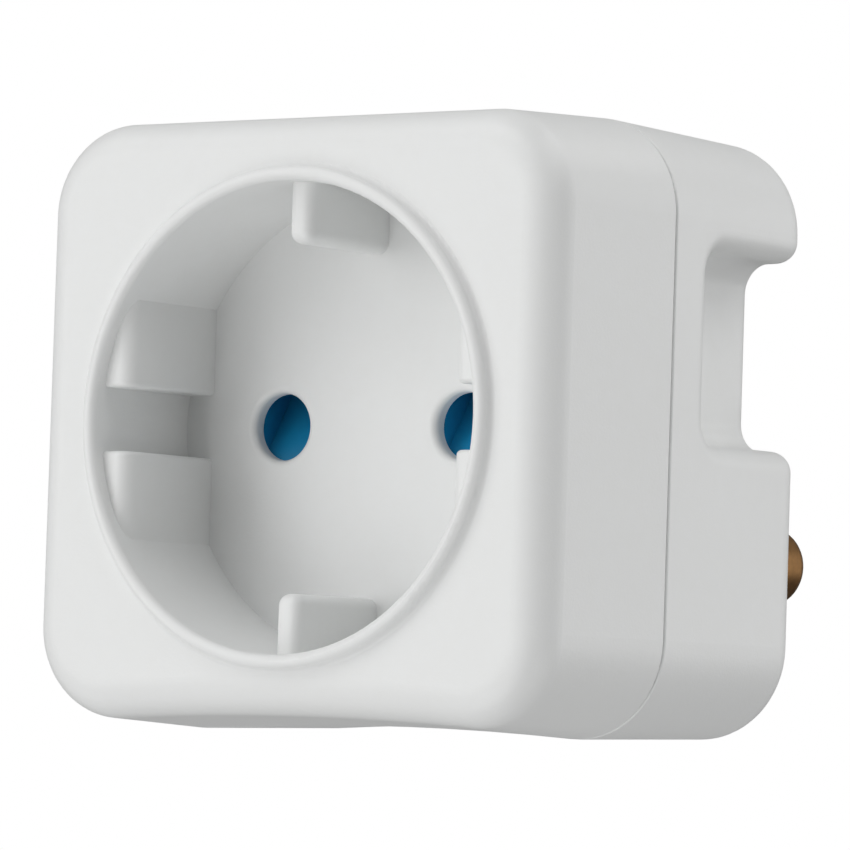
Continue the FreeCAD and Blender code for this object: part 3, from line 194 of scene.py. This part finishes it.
def make_lines_group():
    """Fine tool lines: noise squeezed along one axis, for turned, drawn and rolled metal."""
    group, inside, out = new_group(
        "tool_lines",
        [("Across " + letter, "NodeSocketFloat", 1.0) for letter in "XYZ"],
        (("Height", "NodeSocketFloat"), ("Scratches", "NodeSocketFloat")))
    place = object_coordinates(group)
    axes = group.nodes.new("ShaderNodeCombineXYZ")
    for letter in "XYZ":
        group.links.new(inside.outputs["Across " + letter], axes.inputs[letter])
    squeezed = group.nodes.new("ShaderNodeVectorMath")
    squeezed.operation = "MULTIPLY"
    group.links.new(place, squeezed.inputs[0])
    group.links.new(axes.outputs[0], squeezed.inputs[1])
    lines = add_noise(group, squeezed.outputs[0], LINE_SCALE, LINE_DETAIL, LINE_ROUGHNESS)
    scratches = add_noise(group, place, SCRATCH_SCALE, SCRATCH_DETAIL, SCRATCH_ROUGHNESS)
    group.links.new(lines, out.inputs["Height"])
    group.links.new(scratches, out.inputs["Scratches"])
    return group


GRAIN = make_grain_group()
DRIFT = make_drift_group()
LINES = make_lines_group()


# Materials

def new_material(name):
    material = bpy.data.materials.new(name)
    material.use_nodes = True
    shader = material.node_tree.nodes["Principled BSDF"]
    return material, material.node_tree, shader


def add_group(tree, group, **values):
    """Places a shared group, and sets its inputs by name, with underscores for spaces."""
    node = tree.nodes.new("ShaderNodeGroup")
    node.node_tree = group
    for name, value in values.items():
        node.inputs[name.replace("_", " ")].default_value = value
    return node


def opaque(colour):
    return (*colour, 1.0)


def add_bump(tree, shader, height, distance):
    bump = tree.nodes.new("ShaderNodeBump")
    bump.inputs["Distance"].default_value = distance
    tree.links.new(height, bump.inputs["Height"])
    tree.links.new(bump.outputs["Normal"], shader.inputs["Normal"])


def spread_roughness(tree, shader, mask, low, high):
    spread = tree.nodes.new("ShaderNodeMapRange")
    spread.inputs["To Min"].default_value = low
    spread.inputs["To Max"].default_value = high
    tree.links.new(mask, spread.inputs["Value"])
    tree.links.new(spread.outputs["Result"], shader.inputs["Roughness"])


PLASTIC_PATCHES = 60.0
PLASTIC_SPECKLE = 900.0
PLASTIC_CONTRAST = 1.0


def moulded_plastic(name, first, second, roughness, grain_depth, grain_scale):
    """Plastic that drifts between two colours, with mould grain. The roughness is a low and a high value."""
    material, tree, shader = new_material(name)
    drift = add_group(tree, DRIFT, First=opaque(first), Second=opaque(second), Patch_Scale=PLASTIC_PATCHES,
                      Speckle_Scale=PLASTIC_SPECKLE, Contrast=PLASTIC_CONTRAST)
    tree.links.new(drift.outputs["Colour"], shader.inputs["Base Color"])
    spread_roughness(tree, shader, drift.outputs["Mask"], *roughness)
    grain = add_group(tree, GRAIN, Grain_Scale=grain_scale)
    add_bump(tree, shader, grain.outputs["Height"], grain_depth)
    return material


METAL_PATCHES = 220.0
METAL_SPECKLE = 1600.0
METAL_CONTRAST = 2.2


def worked_metal(name, bright, dull, roughness, across, line_depth):
    """Metal with patches of tarnish, and tool lines that lie across the axes with high values."""
    material, tree, shader = new_material(name)
    shader.inputs["Metallic"].default_value = 1.0
    drift = add_group(tree, DRIFT, First=opaque(bright), Second=opaque(dull), Patch_Scale=METAL_PATCHES,
                      Speckle_Scale=METAL_SPECKLE, Contrast=METAL_CONTRAST)
    tree.links.new(drift.outputs["Colour"], shader.inputs["Base Color"])
    lines = add_group(tree, LINES, Across_X=across[0], Across_Y=across[1], Across_Z=across[2])
    spread_roughness(tree, shader, lines.outputs["Scratches"], *roughness)
    add_bump(tree, shader, lines.outputs["Height"], line_depth)
    return material


FINISHES = {
    "casing_white": moulded_plastic(
        "shell_white", WHITE_SHELL, WHITE_SHELL_WARM,
        roughness=(0.36, 0.46), grain_depth=0.012 * MM, grain_scale=4200.0),
    "shutter_blue": moulded_plastic(
        "shutter_blue", SHUTTER_BLUE, SHUTTER_BLUE_PALE,
        roughness=(0.16, 0.26), grain_depth=0.004 * MM, grain_scale=3000.0),
    "carrier_ivory": moulded_plastic(
        "carrier_ivory", CARRIER_IVORY, CARRIER_IVORY_DARK,
        roughness=(0.45, 0.6), grain_depth=0.015 * MM, grain_scale=3800.0),
    "tray_grey": moulded_plastic(
        "tray_grey", TRAY_GREY, TRAY_GREY_DARK,
        roughness=(0.4, 0.52), grain_depth=0.01 * MM, grain_scale=4200.0),
    "opening_pin_white": moulded_plastic(
        "pin_plastic", WHITE_SHELL_WARM, WHITE_SHELL,
        roughness=(0.3, 0.42), grain_depth=0.008 * MM, grain_scale=4200.0),
    "pin_brass": worked_metal(
        "turned_brass", BRASS, BRASS_TARNISH,
        roughness=(0.34, 0.5), across=(1.0, 90.0, 1.0), line_depth=0.006 * MM),
    "contact_brass": worked_metal(
        "strip_brass", CONTACT_BRASS, CONTACT_BRASS_TARNISH,
        roughness=(0.25, 0.4), across=(40.0, 40.0, 1.0), line_depth=0.003 * MM),
    "spring_steel": worked_metal(
        "spring_wire", STEEL, STEEL_DULL,
        roughness=(0.22, 0.38), across=(20.0, 20.0, 20.0), line_depth=0.003 * MM),
    "screw_steel": worked_metal(
        "plated_steel", ZINC, ZINC_DULL,
        roughness=(0.28, 0.46), across=(1.0, 60.0, 1.0), line_depth=0.004 * MM),
}

for row in frame["record"]["subparts"]:
    mesh = frame["nodes"][row["node"]].data
    mesh.materials.clear()
    mesh.materials.append(FINISHES[row["material_slot"]])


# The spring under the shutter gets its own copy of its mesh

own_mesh(frame["nodes"]["shutter_spring"])


# Floor, seen only from above

FLOOR_SIZE = 3.0
FLOOR_ROUGHNESS = 0.8


def make_floor():
    mesh = bpy.data.meshes.new("studio_floor")
    half = FLOOR_SIZE / 2
    corners = ((-half, -half), (half, -half), (half, half), (-half, half))
    mesh.from_pydata([(x, y, cad_low.z) for x, y in corners], [], [(0, 1, 2, 3)])
    floor = bpy.data.objects.new("studio_floor", mesh)
    bpy.context.scene.collection.objects.link(floor)
    material, tree, shader = new_material("studio_floor")
    shader.inputs["Base Color"].default_value = opaque(FLOOR_GREY)
    shader.inputs["Roughness"].default_value = FLOOR_ROUGHNESS
    clear = tree.nodes.new("ShaderNodeBsdfTransparent")
    side = tree.nodes.new("ShaderNodeNewGeometry")
    choice = tree.nodes.new("ShaderNodeMixShader")
    out = tree.nodes["Material Output"]
    tree.links.new(side.outputs["Backfacing"], choice.inputs["Fac"])
    tree.links.new(shader.outputs[0], choice.inputs[1])
    tree.links.new(clear.outputs[0], choice.inputs[2])
    tree.links.new(choice.outputs[0], out.inputs["Surface"])
    mesh.materials.append(material)
    floor.visible_diffuse = False
    floor.visible_glossy = False
    floor.visible_shadow = False


make_floor()


# Light: soft panels all round, and a white surround

MIDDLE = Vector((0.0, -18.0 * MM, 0.0))
PANEL_DISTANCE = 1.2
PANEL_SIDE = 0.8
ROOM_GLOW = 0.16

# Each panel: degrees round from the socket side towards the right, degrees up, and watts
PANELS = {
    "front_low_panel": (-10.0, -40.0, 5.0),
    "front_panel": (-10.0, 5.0, 1.1),
    "front_high_panel": (-10.0, 50.0, 2.4),
    "left_panel": (-40.0, 5.0, 4.0),
    "left_high_panel": (-40.0, 50.0, 3.5),
    "far_left_low_panel": (-70.0, -40.0, 1.0),
    "right_low_panel": (80.0, -40.0, 3.2),
    "right_high_panel": (80.0, 50.0, 4.0),
    "rear_panel": (140.0, 5.0, 3.6),
    "rear_high_panel": (140.0, 50.0, 3.3),
    "under_panel": (20.0, -80.0, 1.0),
}


def make_world():
    """A surround that looks white to the camera, and adds only a faint glow to the light."""
    world = bpy.data.worlds.new("white_surround")
    bpy.context.scene.world = world
    world.use_nodes = True
    tree = world.node_tree
    glow = tree.nodes["Background"]
    glow.inputs["Strength"].default_value = ROOM_GLOW
    white = tree.nodes.new("ShaderNodeBackground")
    for background in (glow, white):
        background.inputs["Color"].default_value = opaque(PURE_WHITE)
    path = tree.nodes.new("ShaderNodeLightPath")
    choice = tree.nodes.new("ShaderNodeMixShader")
    tree.links.new(path.outputs["Is Camera Ray"], choice.inputs["Fac"])
    tree.links.new(glow.outputs[0], choice.inputs[1])
    tree.links.new(white.outputs[0], choice.inputs[2])
    tree.links.new(choice.outputs[0], tree.nodes["World Output"].inputs["Surface"])


def add_panel(name, round_angle, up_angle, power):
    """A soft square lamp that faces the middle of the adapter."""
    lamp = bpy.data.lights.new(name, "AREA")
    lamp.shape = "SQUARE"
    lamp.size = PANEL_SIDE
    lamp.energy = power
    turned, raised = math.radians(round_angle), math.radians(up_angle)
    level = math.cos(raised)
    way = Vector((math.sin(turned) * level, -math.cos(turned) * level, math.sin(raised)))
    holder = bpy.data.objects.new(name, lamp)
    bpy.context.scene.collection.objects.link(holder)
    holder.location = MIDDLE + way * PANEL_DISTANCE
    holder.rotation_mode = "QUATERNION"
    holder.rotation_quaternion = (-way).to_track_quat("-Z", "Y")


make_world()
for panel_name, (panel_round, panel_up, panel_power) in PANELS.items():
    add_panel(panel_name, panel_round, panel_up, panel_power)


# Camera

def make_camera():
    """The camera is placed from the middle of the collar's front, by its distance and two shifts."""
    fwd = Vector((-math.sin(CAMERA_AZIMUTH) * math.cos(CAMERA_LIFT),
                  math.cos(CAMERA_AZIMUTH) * math.cos(CAMERA_LIFT), -math.sin(CAMERA_LIFT)))
    level_right = Vector((math.cos(CAMERA_AZIMUTH), math.sin(CAMERA_AZIMUTH), 0.0))
    level_up = level_right.cross(fwd)
    right = level_right * math.cos(CAMERA_ROLL) + level_up * math.sin(CAMERA_ROLL)
    up = level_up * math.cos(CAMERA_ROLL) - level_right * math.sin(CAMERA_ROLL)
    collar_front = Vector((0.0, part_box("front_cover")[0].y, 0.0))
    place = collar_front - fwd * CAMERA_DISTANCE - right * CAMERA_SHIFT_RIGHT - up * CAMERA_SHIFT_UP
    data = bpy.data.cameras.new("photo_camera")
    data.lens = CAMERA_LENS
    data.sensor_width = SENSOR_WIDTH
    data.clip_start = NEAREST_SEEN
    data.clip_end = FARTHEST_SEEN
    camera = bpy.data.objects.new("photo_camera", data)
    bpy.context.scene.collection.objects.link(camera)
    turn = Matrix((right, up, -fwd)).transposed().to_4x4()
    camera.matrix_world = Matrix.Translation(place) @ turn
    bpy.context.scene.camera = camera


make_camera()
bpy.context.scene.view_settings.view_transform = "Standard"
